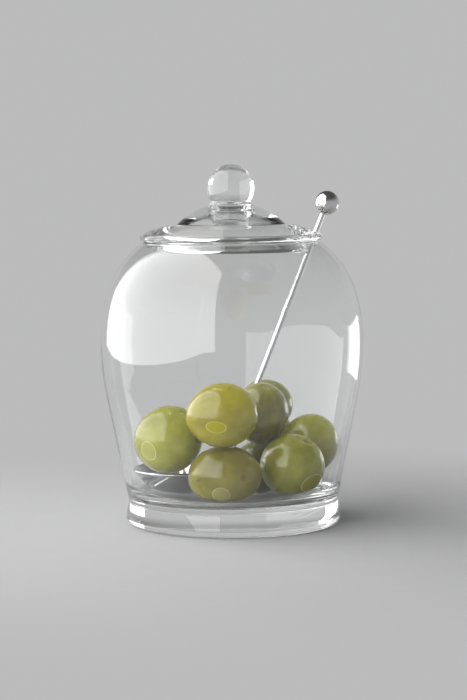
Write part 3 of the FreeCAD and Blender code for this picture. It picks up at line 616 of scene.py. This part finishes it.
# %% [markdown]
# ## Light from panels
#
# Glass is drawn by what it mirrors. A big soft box close on the left shows as the tall pale panel
# on the shoulder of the jar and lights the olives. A low bright card behind on the right draws the
# line down the other side and lights the foot.
#
# Seen from the side, a panel would stand behind the jar as a white block. A ray counts each face of
# glass that it goes through, and one wall has two faces. So the panels are put out for a ray that
# went through more than two faces and was neither mirrored nor scattered on the way.
# They are put out as well for any ray after more than four faces. That takes away what the far
# wall's outer face mirrors, so the image on the far wall is fainter here than in a real jar.

# %% Soft panels
STRAIGHT_FACES, GHOST_FACES = 2.5, 4.5       # counts are whole, so these lie between two counts


def soft_light(name, glow):
    """Lit cloth that adds light from its front and stops none.

    It is dark for rays that went straight on through more than two faces of glass, and for all
    rays after more than four faces. The rest, such as rays through one wall or mirrored by one,
    find it.
    """
    made, out = start_material(name)
    graph = made.node_tree
    rays = node(graph, "LightPath").outputs
    faces = rays["Transmission Depth"]
    walls = sum_of(graph, "GREATER_THAN", faces, STRAIGHT_FACES)
    bounced = sum_of(graph, "ADD", rays["Glossy Depth"], rays["Diffuse Depth"])
    straight = sum_of(graph, "LESS_THAN", bounced, 0.5)
    through = sum_of(graph, "MULTIPLY", walls, straight)
    ghost = sum_of(graph, "GREATER_THAN", faces, GHOST_FACES)
    either = sum_of(graph, "MAXIMUM", through, ghost)
    hidden = sum_of(graph, "MULTIPLY", either, rays["Is Transmission Ray"])
    back = node(graph, "NewGeometry").outputs["Backfacing"]
    unseen = sum_of(graph, "MAXIMUM", hidden, back)
    strength = node(graph, "MapRange", Value=unseen, To_Min=glow, To_Max=0.0).outputs["Result"]
    light = node(graph, "Emission", Color=(1, 1, 1, 1), Strength=strength)
    clear = node(graph, "BsdfTransparent")
    both = node(graph, "AddShader", _0=light.outputs[0], _1=clear.outputs[0])
    graph.links.new(both.outputs[0], out.inputs["Surface"])
    made.cycles.emission_sampling = "FRONT"
    return made


def panel(name, bearing, distance, low, high, width, glow):
    """A soft upright panel that faces the jar's axis.

    Bearing is in degrees round from the front, to the right. Distance, width and the heights of
    its lower and upper edge are in metres. Glow is how bright it looks.
    """
    b = math.radians(bearing)
    foot = np.array((distance * math.sin(b), -distance * math.cos(b), 0.0))
    half = np.array((math.cos(b), math.sin(b), 0.0)) * width / 2
    corners = [foot + side * half + (0, 0, height)
               for side, height in ((-1, low), (-1, high), (1, high), (1, low))]
    sheet = bpy.data.meshes.new(name)
    sheet.from_pydata([tuple(corner) for corner in corners], [], [(0, 1, 2, 3)])
    sheet.materials.append(soft_light(name + "_cloth", glow))
    made = bpy.data.objects.new(name, sheet)
    made.visible_camera = False
    scene.collection.objects.link(made)
    print(name, "stands", round(distance, 3), "m away and glows", glow)


panel("soft_box", bearing=-75, distance=0.26, low=0.030, high=1.10, width=0.94, glow=2.65)
panel("card", bearing=129, distance=0.36, low=0.002, high=0.085, width=0.16, glow=2.0)


# %% [markdown]
# ## Light from above
#
# A soft lamp overhead fills in from above. Neither the eye nor glass nor steel sees it: it only
# lights the fruit and the paper. Its power is what makes a sheet of its size look as bright as its
# glow: power = glow x width x depth x pi.

# %% The overhead lamp
LAMP_GLOW, LAMP_WIDTH, LAMP_DEPTH, LAMP_HEIGHT = 1.5, 0.9, 0.8, 1.3
overhead_light = bpy.data.lights.new("overhead", "AREA")
overhead_light.shape = "RECTANGLE"
overhead_light.size, overhead_light.size_y = LAMP_WIDTH, LAMP_DEPTH
overhead_light.energy = LAMP_GLOW * LAMP_WIDTH * LAMP_DEPTH * math.pi
overhead = bpy.data.objects.new("overhead", overhead_light)
overhead.location = (0, 0, LAMP_HEIGHT)
overhead.visible_camera = overhead.visible_glossy = overhead.visible_transmission = False
scene.collection.objects.link(overhead)
print("overhead lamp:", round(overhead_light.energy, 2), "W at", LAMP_HEIGHT, "m")


# %% [markdown]
# ## The room
#
# The room is as pale as the floor round about and darkens overhead, because glass in an evenly
# pale room has no edges. Two ramps over height say how pale it is: one for rays from the eye, from
# a mirror or through glass, and a dimmer one for all the rest.

# %% The world
world = bpy.data.worlds.new("studio")
scene.world = world
world.use_nodes = True
sky = world.node_tree
sky.nodes.clear()
up = node(sky, "SeparateXYZ", Vector=node(sky, "TexCoord").outputs["Generated"]).outputs["Z"]
room = ramp(sky, up, 0.16, 0.62, tone_of(PALE, PALE * 1.005), tone_of(0.10, 0.101))
light = ramp(sky, up, 0.10, 0.75, tone_of(0.24, 0.242), tone_of(0.06, 0.061))
glow = node(sky, "Background", Color=mix(sky, seen_rays(sky), light, room), Strength=1.0)
sky.links.new(glow.outputs[0], node(sky, "OutputWorld").inputs["Surface"])
print("room:", world.name, "with a tone of", PALE)


# %% [markdown]
# ## Camera
#
# A 100 mm lens level with the lid's knob, looking slightly down and rolled by half a degree.

# %% The camera
DISTANCE, EYE_HEIGHT = 0.778, 0.133          # metres from the jar's axis and over the floor
DOWN, TURN, ROLL = 4.683, -0.043, -0.489     # degrees
lens = bpy.data.cameras.new("camera")
lens.lens, lens.sensor_width = 100.0, 36.0
camera = bpy.data.objects.new("camera", lens)
scene.collection.objects.link(camera)
scene.camera = camera
facing = (Matrix.Rotation(math.radians(TURN), 4, "Z")
          @ Matrix.Rotation(math.radians(90 - DOWN), 4, "X")
          @ Matrix.Rotation(math.radians(ROLL), 4, "Z"))
camera.matrix_world = Matrix.Translation((0, -DISTANCE, EYE_HEIGHT)) @ facing
print("camera:", lens.lens, "mm lens,", DISTANCE, "m away and", EYE_HEIGHT, "m up")
